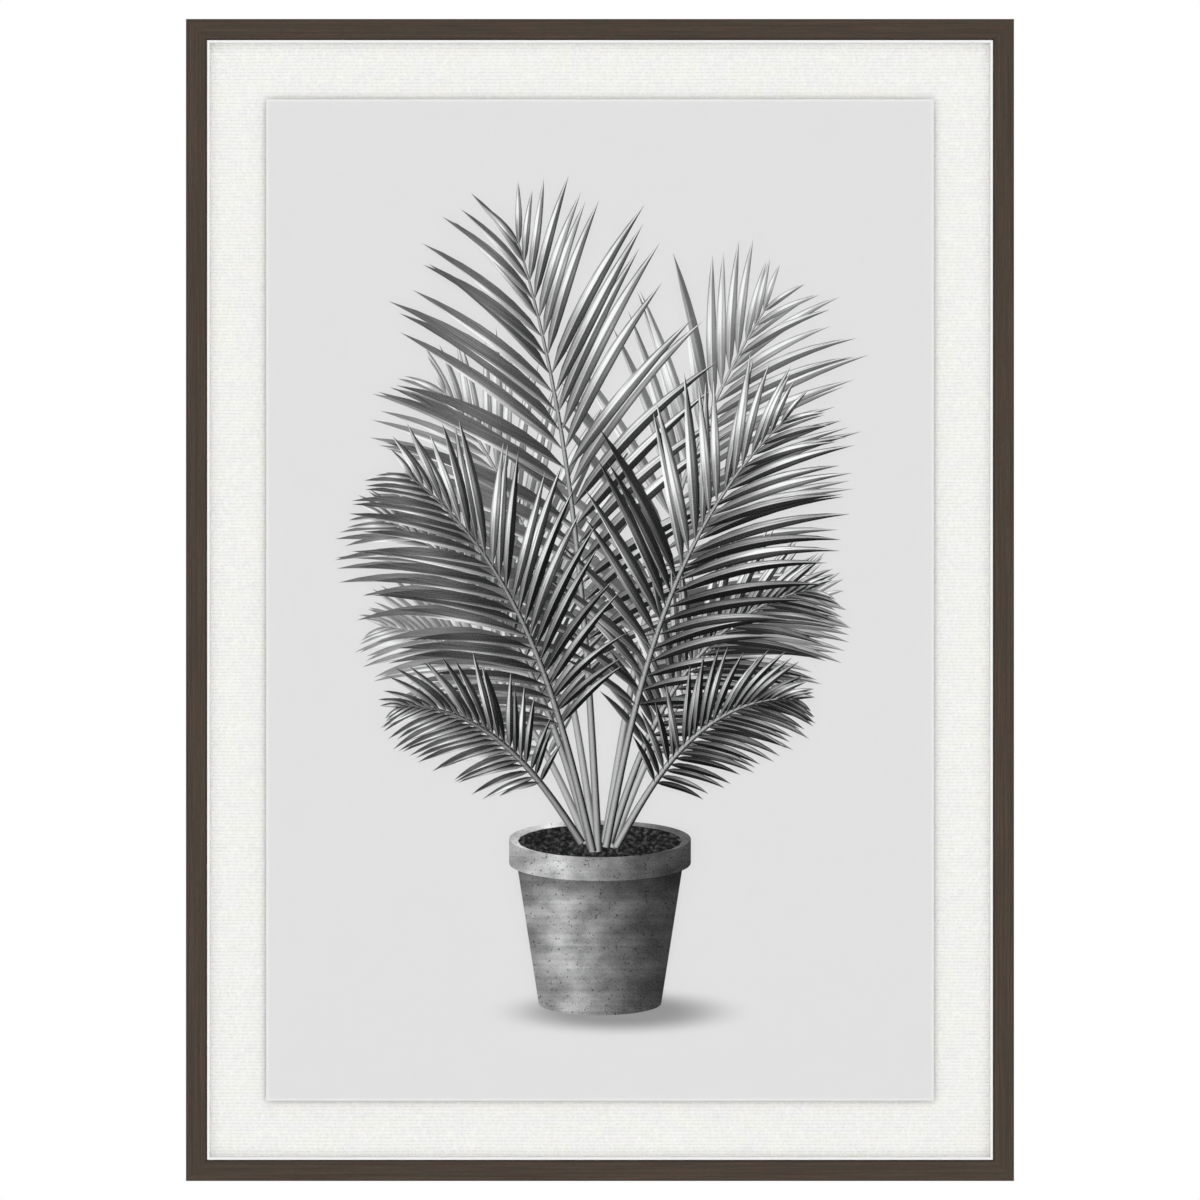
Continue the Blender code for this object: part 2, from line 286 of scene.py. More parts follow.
def foamed_pvc():
    """White foamed PVC, extruded and sawn: dead matt, with fine open cells on its cut sides."""
    material, tree = new_finish("foamed_white_pvc")
    cells = add(tree, "TexNoise", {"Vector": in_marks(tree, 0.8, 0.8, 0.8), "Scale": 1.0})
    colour = add(tree, "ValToRGB", {"Fac": cells}, stops=[(0.3, "#F4F4F2"), (0.7, "#FCFCFB")])
    bump = add(tree, "Bump", {"Height": cells, "Strength": 0.3, "Distance": 0.05 * MILLIMETRE})
    surface = {"Base Color": colour, "Roughness": 0.75, "IOR": 1.5, "Normal": bump}
    add(tree, "OutputMaterial", {"Surface": add(tree, "BsdfPrincipled", surface)})
    return material


white_pvc = foamed_pvc()
for side in ("top", "bottom", "left", "right"):
    dress(f"spacer_{side}", white_pvc)

# ---------------------------------------------------------------------------------------------------
# Linen. One piece of half-bleached slub linen, stretched over the mount board and glued down. Its weft
# runs level and its threads swell and thin, so the gaps between them show as broken level lines, in relief
# and in painted shade.
# ---------------------------------------------------------------------------------------------------

# The ribs follow every third weft thread, since a single thread is too fine to show at full view.
WEFT_PITCH = 1.05 * MILLIMETRE
WARP_PITCH = 1.2 * MILLIMETRE
RIB_PITCH = 3 * WEFT_PITCH
RIB_HEIGHT = 0.14 * MILLIMETRE
ROWS_PER_RIB = 4
SLUB_STEP = 4.4 * MILLIMETRE
THINNEST_SLUB = 0.3

# A thread wanders by this share of a rib in each of a few waves, of at most so many radians in a metre.
WANDER_WAVES = 6
WANDER = 0.035
WANDER_ALONG = 40.0
WANDER_ACROSS = 60.0

linen_low, linen_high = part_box("linen_cover")
riser_low, riser_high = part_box("riser_board")
HIDDEN_INSET = 6 * MILLIMETRE


def even_steps(low, high, step):
    """Places from low to high, as near to a step apart as divides the distance evenly."""
    return np.linspace(low, high, round((high - low) / step) + 1)


def slub_linen_mesh():
    """The linen's face: level ribs in relief round the print, and one flat face under its riser."""
    draw = np.random.default_rng(12)
    grid_x, grid_z = np.meshgrid(
        even_steps(linen_low.x, linen_high.x, SLUB_STEP),
        even_steps(linen_low.z, linen_high.z, RIB_PITCH / ROWS_PER_RIB),
    )

    # The threads wander up and down a little, side by side with their neighbours.
    wander = np.zeros_like(grid_x)
    for _ in range(WANDER_WAVES):
        along = draw.uniform(-WANDER_ALONG, WANDER_ALONG)
        across = draw.uniform(-WANDER_ACROSS, WANDER_ACROSS)
        wander += WANDER * np.sin(along * grid_x + across * grid_z + draw.uniform(0, 2 * np.pi))
    threads = (grid_z - linen_low.z) / RIB_PITCH + wander
    rib = np.floor(threads).astype(int)
    thickness = draw.uniform(THINNEST_SLUB, 1.0, (rib.max() + 2, grid_x.shape[1]))
    thickness = (thickness + np.roll(thickness, 1, axis=1)) / 2
    relief = (0.5 - 0.5 * np.cos(2 * np.pi * threads)) * thickness[rib, np.arange(grid_x.shape[1])]

    under = (
        (grid_x > riser_low.x + HIDDEN_INSET)
        & (grid_x < riser_high.x - HIDDEN_INSET)
        & (grid_z > riser_low.z + HIDDEN_INSET)
        & (grid_z < riser_high.z - HIDDEN_INSET)
    )
    index = np.arange(grid_x.size).reshape(grid_x.shape)
    corners = [index[:-1, :-1], index[:-1, 1:], index[1:, 1:], index[1:, :-1]]
    hidden = under[:-1, :-1] & under[:-1, 1:] & under[1:, 1:] & under[1:, :-1]
    faces = np.stack([c[~hidden] for c in corners], axis=1)
    rows, columns = np.where(hidden)
    bottom, top, left, right = rows.min(), rows.max() + 1, columns.min(), columns.max() + 1
    faces = np.vstack([faces, index[[bottom, bottom, top, top], [left, right, right, left]]])

    used, faces = np.unique(faces, return_inverse=True)
    y = linen_low.y + RIB_HEIGHT * (1.0 - relief.ravel()[used])
    points = np.stack([grid_x.ravel()[used], y, grid_z.ravel()[used]], axis=1)
    mesh = bpy.data.meshes.new("linen")
    mesh.from_pydata(points.tolist(), [], faces.reshape(-1, 4).tolist())
    mesh.shade_smooth()
    count = mesh.attributes.new("thread_count", "FLOAT", "POINT")
    count.data.foreach_set("value", threads.ravel()[used].astype(np.float32))
    return mesh


def half_bleached_linen():
    """Half-bleached linen cloth, plain woven from uneven slub yarn.

    Spun from long fibres: matt, off-white, a little yellower and bluer in turns along the threads, with
    faint upright lines where the warp pulls them in. The gaps between the threads are painted greyer as
    shade, and the crossings of warp and weft a trace lighter and darker as painted shade of their relief.
    """
    material, tree = new_finish("half_bleached_slub_linen")
    place = add(tree, "SeparateXYZ", {0: add(tree, "TexCoord").outputs["Object"]}).outputs
    threads = add(tree, "Attribute", attribute_name="thread_count").outputs["Fac"]

    def on_thread(rounding, length, apart):
        """Coordinates counted in marks this long on each thread, and far apart from thread to thread."""
        thread = add(tree, "Math", {0: threads}, operation=rounding)
        along = add(tree, "Math", {0: place["X"], 1: 1 / (length * MILLIMETRE)}, operation="MULTIPLY")
        across = add(tree, "Math", {0: thread, 1: apart}, operation="MULTIPLY")
        return add(tree, "CombineXYZ", {0: along, 1: across})

    # A gap lies at each whole number of threads, and is open in dashes a few millimetres long. It is
    # painted darker, as shade between the threads.
    turn = add(tree, "Math", {0: threads, 1: 2 * math.pi}, operation="MULTIPLY")
    crest = add(tree, "Math", {0: turn}, operation="COSINE")
    gap = add(tree, "MapRange", {"Value": crest, "From Min": 0.1, "From Max": 1.0})
    dashes = {"Vector": on_thread("ROUND", 2.3, 7.31), "Scale": 1.0, "Detail": 1.0}
    openness = {"Value": add(tree, "TexNoise", dashes), "From Min": 0.38, "From Max": 0.58, "To Min": 0.1}
    gap_painted_shade = add(tree, "Math", {0: gap, 1: add(tree, "MapRange", openness)}, operation="MULTIPLY")

    # Over and under of weft and warp, thread by thread: raised for the bump, and painted lighter and darker
    # as shade of that relief.
    waves = {}
    for number, (axis, pitch) in enumerate((("Z", WEFT_PITCH), ("X", WARP_PITCH))):
        turn = add(tree, "Math", {0: place[axis], 1: 2 * math.pi / pitch}, operation="MULTIPLY")
        waves[number] = add(tree, "Math", {0: turn}, operation="SINE")
    weave_relief_and_shade = add(tree, "Math", waves, operation="MULTIPLY")

    # Each pattern darkens and lightens the cloth a little: its range, and how far it does.
    slubs = add(tree, "TexNoise", {"Vector": on_thread("FLOOR", 3.2, 5.17), "Scale": 1.0, "Detail": 1.0})
    pulls = add(tree, "TexNoise", {"Vector": in_marks(tree, 1.3, 500, 12), "Scale": 1.0, "Detail": 1.0})
    # Painted shade: the open gaps between threads darken the cloth's colour.
    tone = add(tree, "MapRange", {"Value": gap_painted_shade, "To Min": 1.02, "To Max": 0.865})
    for pattern, low, high, spread in (
        (slubs, 0.3, 0.7, 0.035),
        (pulls, 0.3, 0.7, 0.015),
        (weave_relief_and_shade, -1.0, 1.0, 0.015),
    ):
        shade = {"Value": pattern, "From Min": low, "From Max": high}
        shade |= {"To Min": 1 - spread, "To Max": 1 + spread}
        tone = add(tree, "Math", {0: tone, 1: add(tree, "MapRange", shade)}, operation="MULTIPLY")
    patches = add(tree, "TexNoise", {"Vector": in_marks(tree, 30, 500, 16), "Scale": 1.0, "Detail": 3.0})
    hue = add(tree, "ValToRGB", {"Fac": patches}, stops=[(0.38, "#F4F3EE"), (0.62, "#F2F1F0")])
    colour = add(tree, "VectorMath", {0: hue, "Scale": tone}, operation="SCALE")

    fibres = add(tree, "TexNoise", {"Vector": in_marks(tree, 5, 500, 0.5), "Scale": 1.0, "Detail": 3.0})
    raised = add(tree, "Math", {0: weave_relief_and_shade, 1: 0.35, 2: fibres}, operation="MULTIPLY_ADD")
    bump = add(tree, "Bump", {"Height": raised, "Strength": 0.6, "Distance": 0.10 * MILLIMETRE})
    surface = {"Base Color": colour, "Roughness": 0.92, "IOR": 1.5, "Normal": bump}
    surface |= {"Sheen Weight": 0.1, "Sheen Roughness": 0.5}
    add(tree, "OutputMaterial", {"Surface": add(tree, "BsdfPrincipled", surface)})
    return material


linen = bpy.data.objects.new("linen", slub_linen_mesh())
linen.data.materials.append(half_bleached_linen())
bpy.context.scene.collection.objects.link(linen)
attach(linen, "root")
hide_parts("linen_cover")

# ---------------------------------------------------------------------------------------------------
# Boards. The linen is glued to a cotton rag board, the print stands on a smaller riser of foam board,
# and corrugated card closes the rabbet behind, held in by zinc-plated steel points.
# ---------------------------------------------------------------------------------------------------


def plain_board(name, stops, fibre):
    """Board stock, felted or faced with paper: dead matt, with a faint cloud of fibres this big."""
    material, tree = new_finish(name)
    clouding = {"Vector": in_marks(tree, fibre, fibre, fibre), "Scale": 1.0, "Detail": 4.0}
    cloud = add(tree, "TexNoise", clouding)
    colour = add(tree, "ValToRGB", {"Fac": cloud}, stops=stops)
    bump = add(tree, "Bump", {"Height": cloud, "Strength": 0.3, "Distance": 0.05 * MILLIMETRE})
    surface = {"Base Color": colour, "Roughness": 0.88, "IOR": 1.5, "Normal": bump}
    add(tree, "OutputMaterial", {"Surface": add(tree, "BsdfPrincipled", surface)})
    return material


def plated_steel(name, stops, roughness):
    """Pressed sheet steel with a thin bright plating, scuffed lightly along its length in the press."""
    material, tree = new_finish(name)
    scuffs = add(tree, "TexNoise", {"Vector": in_marks(tree, 3, 1, 0.25), "Scale": 1.0, "Detail": 2.0})
    colour = add(tree, "ValToRGB", {"Fac": scuffs}, stops=stops)
    dulled = {"Value": scuffs, "From Min": 0.3, "From Max": 0.7}
    dulled |= {"To Min": roughness - 0.08, "To Max": roughness + 0.12}
    surface = {"Base Color": colour, "Metallic": 1.0, "Roughness": add(tree, "MapRange", dulled)}
    add(tree, "OutputMaterial", {"Surface": add(tree, "BsdfPrincipled", surface)})
    return material


dress("mount_board", plain_board("cotton_rag_board", [(0.3, "#E2DFD8"), (0.7, "#EEEBE5")], 1.5))
dress("riser_board", plain_board("paper_faced_foam", [(0.3, "#ECECE9"), (0.7, "#F6F6F4")], 1.5))
dress("backing_board", plain_board("corrugated_card", [(0.3, "#9F835D"), (0.7, "#B3976E")], 2.0))
zinc_plate = plated_steel("zinc_plated_steel", [(0.30, "#ADB1B4"), (0.70, "#C0C4C6")], 0.36)
for node_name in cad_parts:
    if node_name.startswith("framers_point_"):
        dress(node_name, zinc_plate)

# ---------------------------------------------------------------------------------------------------
# Print. A botanical picture in black pigment ink on matt cotton paper, mounted on thin grey board that is
# stuck to the riser: a palm in a stoneware pot. The sheet's face is flat and cut wherever two outlines
# cross, so that each patch of it belongs to the shape that lies on top there.
# ---------------------------------------------------------------------------------------------------

print_low, print_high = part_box("print_sheet")
PRINT_HALF_WIDTH = (print_high.x - print_low.x) / 2
PRINT_HALF_HEIGHT = (print_high.z - print_low.z) / 2
PRINT_MIDDLE_Z = (print_low.z + print_high.z) / 2

# The picture is laid out in millimetres from the sheet's middle: right, then up.
draw = random.Random(5)
UP = Vector((0.0, 1.0))
LIGHT_FROM = Vector((-0.75, 0.66))
POT_FOOT = Vector((0.0, -368.0))
POT_HEIGHT = 150.0
POT_FOOT_RADIUS = 56.0
POT_TOP_RADIUS = 76.0
RIM_HEIGHT = 22.0
RIM_RADIUS = 83.0
RIM_WALL = 8.0
SOIL_BELOW_RIM = 2.0
LIP_LIGHT = 0.12
VIEW_DOWN = 0.2
RING_STEPS = 24
COARSEST_JOIN = 0.02
PAPER, BLADE, STEM, POT, RIM, SOIL, BOARD = range(7)

# Each shape is an outline with a straight frame of its own: an origin, a direction, how long it is that
# way and how wide half of it is. Its ink reads these and four numbers more.
shapes = []


def add_shape(kind, outline, origin, along, length, half_width, numbers=(0.0, 0.0, 0.0, 0.0)):
    """Lays one more shape over those before it."""
    shapes.append((kind, outline, origin, along, length, half_width, numbers))


def ring(centre, radius, start, end):
    """Points on a level ring seen from a little above, from one angle to another in degrees."""
    points = []
    for step in range(RING_STEPS + 1):
        angle = math.radians(start + (end - start) * step / RING_STEPS)
        points.append(centre + Vector((radius * math.cos(angle), VIEW_DOWN * radius * math.sin(angle))))
    return points


rim_foot = POT_FOOT + UP * (POT_HEIGHT - RIM_HEIGHT)
rim_top = POT_FOOT + UP * POT_HEIGHT
pot_side = ring(POT_FOOT, POT_FOOT_RADIUS, 180, 360) + ring(rim_foot, POT_TOP_RADIUS, 0, 180)
add_shape(POT, pot_side, POT_FOOT, UP, POT_HEIGHT - RIM_HEIGHT, POT_TOP_RADIUS)
rim_side = ring(rim_foot, RIM_RADIUS, 180, 360) + ring(rim_top, RIM_RADIUS, 0, 180)
add_shape(RIM, rim_side, rim_foot, UP, RIM_HEIGHT, RIM_RADIUS)
lip = ring(rim_top, RIM_RADIUS, 0, 360)[:-1]
add_shape(RIM, lip, rim_top, UP, RIM_HEIGHT, RIM_RADIUS, (LIP_LIGHT, 0.0, 0.0, 0.0))
soil = ring(rim_top - UP * SOIL_BELOW_RIM, RIM_RADIUS - RIM_WALL, 0, 360)[:-1]
add_shape(SOIL, soil, rim_top, UP, RIM_HEIGHT, RIM_RADIUS)

CROWN = rim_top + UP * 90.0
CROWN_REACH = 330.0
BLADE_STEPS = 7
BLADE_TAPER = 0.72
BLADE_FULLNESS = 0.8

# Tones run from 0, black, to 1, white. A blade has the crown's tone and what the open air, its aim and
# the light on each of its halves add to it.
CROWN_TONE = 0.20
OPEN_AIR_LIGHT = 0.48
AIM_LIGHT = 0.12
HALF_LIGHT = 0.33
TONE_SPREAD = 0.15
HALF_SPREAD = 0.08
PALEST = 0.90
LEAST_BRIGHT = 0.03
LEAST_DARK = 0.02


def add_blade(base, direction, length, half_width, bulge, haze):
    """One blade, folded along its midrib, which bows out to one side by bulge times its length."""
    side = Vector((-direction.y, direction.x))
    left, right = [], []
    for step in range(BLADE_STEPS + 1):
        t = step / BLADE_STEPS
        middle = base + direction * (length * t) + side * (4 * bulge * length * t * (1 - t))
        width = half_width * math.sin(math.pi * t**BLADE_TAPER) ** BLADE_FULLNESS if 0 < t < 1 else 0.0
        left.append(middle + side * width)
        right.append(middle - side * width)
    outline = right + left[-2:0:-1]

    # The half that turns to the light is paler, and less light reaches the crown.
    fold = HALF_LIGHT * side.dot(LIGHT_FROM) + draw.uniform(-HALF_SPREAD, HALF_SPREAD)
    open_air = min(1.0, ((base + direction * length / 2) - CROWN).length / CROWN_REACH)
    ground = CROWN_TONE + OPEN_AIR_LIGHT * open_air + AIM_LIGHT * direction.dot(LIGHT_FROM)
    ground += draw.uniform(-TONE_SPREAD, TONE_SPREAD)
    bright = min(PALEST, max(LEAST_BRIGHT, ground + fold))
    dark = min(PALEST, max(LEAST_DARK, ground - fold))
    bow = 4 * bulge * length / half_width
    add_shape(BLADE, outline, base, direction, length, half_width, (bright, dark, haze, bow))


FROND_STEPS = 32
BARE_SHARE = 0.30
STEM_TIP_HALF_WIDTH = 0.7
STEM_WIDENING = 3.0
STEM_OVERLAP = 0.8
STEM_LIGHT = 0.55
STEM_AIM_LIGHT = 0.2
STEM_DARK = 0.10

# The longest blades are this share of their frond. They stand off the midrib by so many degrees at its
# foot and less towards its tip, and droop and bow by shares of their own length.
LONGEST_BLADE = 0.35
SPREAD_AT_FOOT = 56
SPREAD_LOST = 38
SPREAD_JITTER = 5
DROOP = 0.30
BOW = 0.06
BOW_JITTER = 0.015
SHORTEST_SHARE, LONGEST_SHARE = 0.88, 1.08
BLADE_HALF_WIDTH = 1.8
WIDER_BY_LENGTH = 0.023


def add_frond(foot, lean, length, arch, haze):
    """An arching midrib with blades down both sides. lean is in degrees from upright, to the right."""
    place = foot.copy()
    turn = math.radians(arch) * (1 if lean >= 0 else -1)
    spine = []
    for step in range(FROND_STEPS + 1):
        t = step / FROND_STEPS
        heading = math.radians(90 - lean) - turn * t**2
        spine.append((t, place.copy(), Vector((math.cos(heading), math.sin(heading)))))
        place += spine[-1][2] * (length / FROND_STEPS)
    for (t, start, direction), (_, end, _) in zip(spine, spine[1:]):
        half = STEM_WIDENING * (1 - t) ** 0.8 + STEM_TIP_HALF_WIDTH
        side = Vector((-direction.y, direction.x)) * half
        reach = end + direction * STEM_OVERLAP
        outline = [start - side, reach - side, reach + side, start + side]
        numbers = (STEM_LIGHT + STEM_AIM_LIGHT * direction.cross(LIGHT_FROM), STEM_DARK, haze, 0.0)
        add_shape(STEM, outline, start, direction, (reach - start).length, half, numbers)
    for t, start, direction in spine:
        if t < BARE_SHARE:
            continue
        u = (t - BARE_SHARE) / (1 - BARE_SHARE)
        full = length * LONGEST_BLADE * math.sin(math.pi * (0.17 + 0.75 * u)) ** 0.9
        spread = math.radians(SPREAD_AT_FOOT - SPREAD_LOST * u)
        for hand in (1, -1):
            jitter = math.radians(draw.uniform(-SPREAD_JITTER, SPREAD_JITTER))
            heading = math.atan2(direction.y, direction.x) + spread * hand + jitter
            aim = Vector((math.cos(heading), math.sin(heading) - DROOP * (1 - 0.5 * u))).normalized()
            falls = 1 if aim.x > 0 else -1
            bulge = falls * BOW * abs(aim.x) + draw.uniform(-BOW_JITTER, BOW_JITTER)
            blade = full * draw.uniform(SHORTEST_SHARE, LONGEST_SHARE)
            add_blade(start, aim, blade, BLADE_HALF_WIDTH + WIDER_BY_LENGTH * blade, bulge, haze)


# Each frond's lean, length, arch and haze, from the back to the front.
FRONDS = [
    (-23, 280, 62, 0.42),
    (21, 305, 58, 0.40),
    (-8, 445, 32, 0.34),
    (9, 510, 24, 0.30),
    (-16, 362, 50, 0.18),
    (-3, 560, 14, 0.10),
    (18, 305, 62, 0.06),
    (11, 425, 36, 0.0),
    (-13, 385, 40, 0.0),
    (-33, 215, 62, 0.0),
    (29, 222, 66, 0.0),
]
FOOT_APART = 4.0
for count, (lean, length, arch, haze) in enumerate(FRONDS):
    foot = rim_top + Vector((lean * 0.5, -FOOT_APART * (1 + count % 3)))
    add_frond(foot, lean, length, arch, haze)


def picture_mesh():
    """Cuts the sheet's face along every outline, and closes it with the board's edges and back."""
    half_width = PRINT_HALF_WIDTH / MILLIMETRE
    half_height = PRINT_HALF_HEIGHT / MILLIMETRE
    points = [Vector((x * half_width, z * half_height)) for x, z in ((-1, -1), (1, -1), (1, 1), (-1, 1))]
    outlines = [list(range(4))]
    for _, outline, *_ in shapes:
        outlines.append(list(range(len(points), len(points) + len(outline))))
        points += outline
    flat, _, patches, _, _, owners = delaunay_2d_cdt(points, [], outlines, 0, COARSEST_JOIN, True)

    # Only the last shape that holds a patch shows there. The sheet itself is the first.
    patches = [(list(patch), max(owner)) for patch, owner in zip(patches, owners) if owner]
    places = [(p.x * MILLIMETRE, print_low.y, p.y * MILLIMETRE + PRINT_MIDDLE_Z) for p in flat]
    edge = [min(range(len(flat)), key=lambda i: (flat[i] - points[corner]).length) for corner in range(4)]
    back = len(places)
    places += [(places[i][0], print_high.y, places[i][2]) for i in edge]
    faces = [patch for patch, _ in patches]
    for side in range(4):
        after = (side + 1) % 4
        faces.append([edge[side], back + side, back + after, edge[after]])
    faces.append([back + 3, back + 2, back + 1, back])

    mesh = bpy.data.meshes.new("print")
    mesh.from_pydata(places, [], faces)
    kinds = [PAPER] + [shape[0] for shape in shapes]
    mesh.polygons.foreach_set("material_index", [kinds[top] for _, top in patches] + [PAPER] * 4 + [BOARD])
    mesh.color_attributes.new("ink_numbers", "FLOAT_COLOR", "CORNER")
    mesh.uv_layers.new(name="OFBake")
    mesh.uv_layers.new(name="ink_place")
    ink_numbers = mesh.color_attributes["ink_numbers"].data
    bake_place = mesh.uv_layers["OFBake"].uv
    ink_place = mesh.uv_layers["ink_place"].uv
    map_size = 2.1 * half_height
    for polygon, (_, top) in zip(mesh.polygons, patches):
        for corner in polygon.loop_indices:
            here = flat[mesh.loops[corner].vertex_index]
            bake_place[corner].vector = (0.5 + here.x / map_size, 0.5 + here.y / map_size)
            if top:
                _, _, origin, along, length, half, numbers = shapes[top - 1]
                away = here - origin
                ink_place[corner].vector = (away.dot(along) / length, along.cross(away) / half)
                ink_numbers[corner].color = numbers
    # The board's edges and back lie beside the face on the map that its finish is baked through.
    for slot, polygon in enumerate(mesh.polygons[len(patches) :]):
        for corner, (u, v) in zip(polygon.loop_indices, ((0, 0), (1, 0), (1, 1), (0, 1))):
            bake_place[corner].vector = (0.87 + 0.1 * u, 0.02 + 0.18 * (slot + 0.9 * v))
    return mesh


PRINTED_GROUND = "#E2E1E1"
GROUND_TONE = 0.88
TONE_CURVE = 2.2
BARE_PAPER = "#E9E9E8"
BARE_MARGIN = 1.8 * MILLIMETRE
SHADOW_MIDDLE = (18 * MILLIMETRE, 0.0, (POT_FOOT.y - 8.0) * MILLIMETRE + PRINT_MIDDLE_Z)
SHADOW_HALF_WIDTH = 132 * MILLIMETRE
SHADOW_HALF_HEIGHT = 25 * MILLIMETRE


def cotton_paper():
    """Matt cotton paper, printed with a flat pale grey ground, with a narrow bare edge.

    Coated for pigment ink, so it takes an even tone with only a faint tooth. The ground deepens softly
    where the pot stands.
    """
    material, tree = new_finish("matt_cotton_paper")
    from_side = in_from_edge(tree, "X", 0.0, PRINT_HALF_WIDTH)
    from_end = in_from_edge(tree, "Z", PRINT_MIDDLE_Z, PRINT_HALF_HEIGHT)
    nearest = add(tree, "Math", {0: from_side, 1: from_end}, operation="MINIMUM")
    margin = {"Value": nearest, "From Min": BARE_MARGIN, "From Max": BARE_MARGIN + 1.0 * MILLIMETRE}
    ink = {"Factor": add(tree, "MapRange", margin), "A": linear(BARE_PAPER), "B": linear(PRINTED_GROUND)}
    colour = add(tree, "Mix", ink, data_type="RGBA")

    # The printed shadow is a soft oval round the pot's foot, a little to the right.
    place = add(tree, "TexCoord").outputs["Object"]
    away = add(tree, "VectorMath", {0: place, 1: SHADOW_MIDDLE}, operation="SUBTRACT")
    stretch = (1 / SHADOW_HALF_WIDTH, 0.0, 1 / SHADOW_HALF_HEIGHT)
    stretched = add(tree, "VectorMath", {0: away, 1: stretch}, operation="MULTIPLY")
    reach = add(tree, "VectorMath", {0: stretched}, operation="LENGTH")
    fades = {"Value": reach, "From Min": 0.25, "From Max": 1.0, "To Min": 0.42, "To Max": 1.0}
    shadow = add(tree, "MapRange", fades, interpolation_type="SMOOTHERSTEP")

    tooth = add(tree, "TexNoise", {"Vector": in_marks(tree, 0.9, 0.9, 0.9), "Scale": 1.0, "Detail": 3.0})
    uneven = {"Value": tooth, "From Min": 0.3, "From Max": 0.7, "To Min": 0.99, "To Max": 1.01}
    shade = add(tree, "Math", {0: shadow, 1: add(tree, "MapRange", uneven)}, operation="MULTIPLY")
    shaded = add(tree, "VectorMath", {0: colour, "Scale": shade}, operation="SCALE")
    bump = add(tree, "Bump", {"Height": tooth, "Strength": 0.25, "Distance": 0.04 * MILLIMETRE})
    surface = {"Base Color": shaded, "Roughness": 0.8, "IOR": 1.5, "Normal": bump}
    add(tree, "OutputMaterial", {"Surface": add(tree, "BsdfPrincipled", surface)})
    return material


def start_ink(name):
    """A printed ink's material and tree, its place along and across its shape, and its numbers."""
    material, tree = new_finish(name)
    place = add(tree, "SeparateXYZ", {0: add(tree, "UVMap", uv_map="ink_place")}).outputs
    numbers = add(tree, "VertexColor", layer_name="ink_numbers").outputs
    first = add(tree, "SeparateColor", {0: numbers["Color"]}).outputs
    return material, tree, place["X"], place["Y"], (*first, numbers["Alpha"])


def lay_ink(tree, tone, haze):
    """Prints a tone with a fine grain, hazed towards the ground."""
    dots = add(tree, "TexNoise", {"Vector": in_marks(tree, 1.3, 1.3, 1.3), "Scale": 1.0})
    rough = {"Value": dots, "From Min": 0.3, "From Max": 0.7, "To Min": -0.04, "To Max": 0.04}
    grained = add(tree, "Math", {0: tone, 1: add(tree, "MapRange", rough)}, operation="ADD", use_clamp=True)
    hazed = add(tree, "Mix", {"Factor": haze, "A": grained, "B": GROUND_TONE})
    grey = add(tree, "Math", {0: hazed, 1: TONE_CURVE}, operation="POWER")
    # The ink soaks into the paper's coating, so its blacks are deep and hardly shine.
    surface = {"Base Color": grey, "Roughness": 0.7, "IOR": 1.5, "Specular IOR Level": 0.1}
    add(tree, "OutputMaterial", {"Surface": add(tree, "BsdfPrincipled", surface)})


def blade_ink():
    """Ink of the blades: a lighter and a darker half, fine veins, and a pale line down the midrib."""
    material, tree, along, across, (bright, dark, haze, bow) = start_ink("pigment_ink_blade")
    left_over = add(tree, "Math", {0: 1.0, 1: along}, operation="SUBTRACT")
    hump = add(tree, "Math", {0: along, 1: left_over}, operation="MULTIPLY")
    bowed = add(tree, "Math", {0: hump, 1: bow}, operation="MULTIPLY")
    off = add(tree, "Math", {0: across, 1: bowed}, operation="SUBTRACT")
    half = add(tree, "MapRange", {"Value": off, "From Min": -0.04, "From Max": 0.04})
    tone = add(tree, "Mix", {"Factor": half, "A": dark, "B": bright})

    # Darker at its foot, with a soft gleam past the middle, and lined by veins.
    rise = {"Value": along, "From Max": 0.5, "To Min": 0.45}
    past = add(tree, "Math", {0: along, 1: 0.55}, operation="SUBTRACT")
    squared = add(tree, "Math", {0: past, 1: past}, operation="MULTIPLY")
    gleam = {"Value": squared, "From Max": 0.06, "To Min": 1.18, "To Max": 1.0}
    on_blade = add(tree, "CombineXYZ", {0: along, 1: off, 2: bright})
    vein_marks = add(tree, "VectorMath", {0: on_blade, 1: (3.0, 7.0, 90.0)}, operation="MULTIPLY")
    veins = add(tree, "TexNoise", {"Vector": vein_marks, "Scale": 1.0})
    lined = {"Value": veins, "From Min": 0.3, "From Max": 0.7, "To Min": 0.74, "To Max": 1.22}
    # Its edges sink away from the light, so that each blade parts from the one behind it.
    widening = add(tree, "Math", {0: along, 1: BLADE_TAPER}, operation="POWER")
    half_turn = add(tree, "Math", {0: widening, 1: math.pi}, operation="MULTIPLY")
    width = add(tree, "Math", {0: half_turn}, operation="SINE")
    from_rib = add(tree, "Math", {0: off}, operation="ABSOLUTE")
    outward = add(tree, "Math", {0: from_rib, 1: width}, operation="DIVIDE")
    edge = {"Value": outward, "From Min": 0.62, "From Max": 1.05, "To Min": 1.0, "To Max": 0.4}
    for shading in (rise, gleam, lined, edge):
        tone = add(tree, "Math", {0: tone, 1: add(tree, "MapRange", shading)}, operation="MULTIPLY")
    rib = {"Value": from_rib, "From Min": 0.05, "From Max": 0.14, "To Min": 0.16, "To Max": 0.0}
    tone = add(tree, "Math", {0: tone, 1: add(tree, "MapRange", rib)}, operation="ADD")
    lay_ink(tree, tone, haze)
    return material


def stem_ink():
    """Ink of the round stems: a light streak to the left, and dark sides."""
    material, tree, _, across, (light, dark, haze, _) = start_ink("pigment_ink_stem")
    off = add(tree, "Math", {0: across, 1: 0.25}, operation="SUBTRACT")
    squared = add(tree, "Math", {0: off, 1: off}, operation="MULTIPLY")
    tone = add(tree, "MapRange", {"Value": squared, "From Max": 0.9, "To Min": light, "To Max": dark})
    lay_ink(tree, tone, haze)
    return material


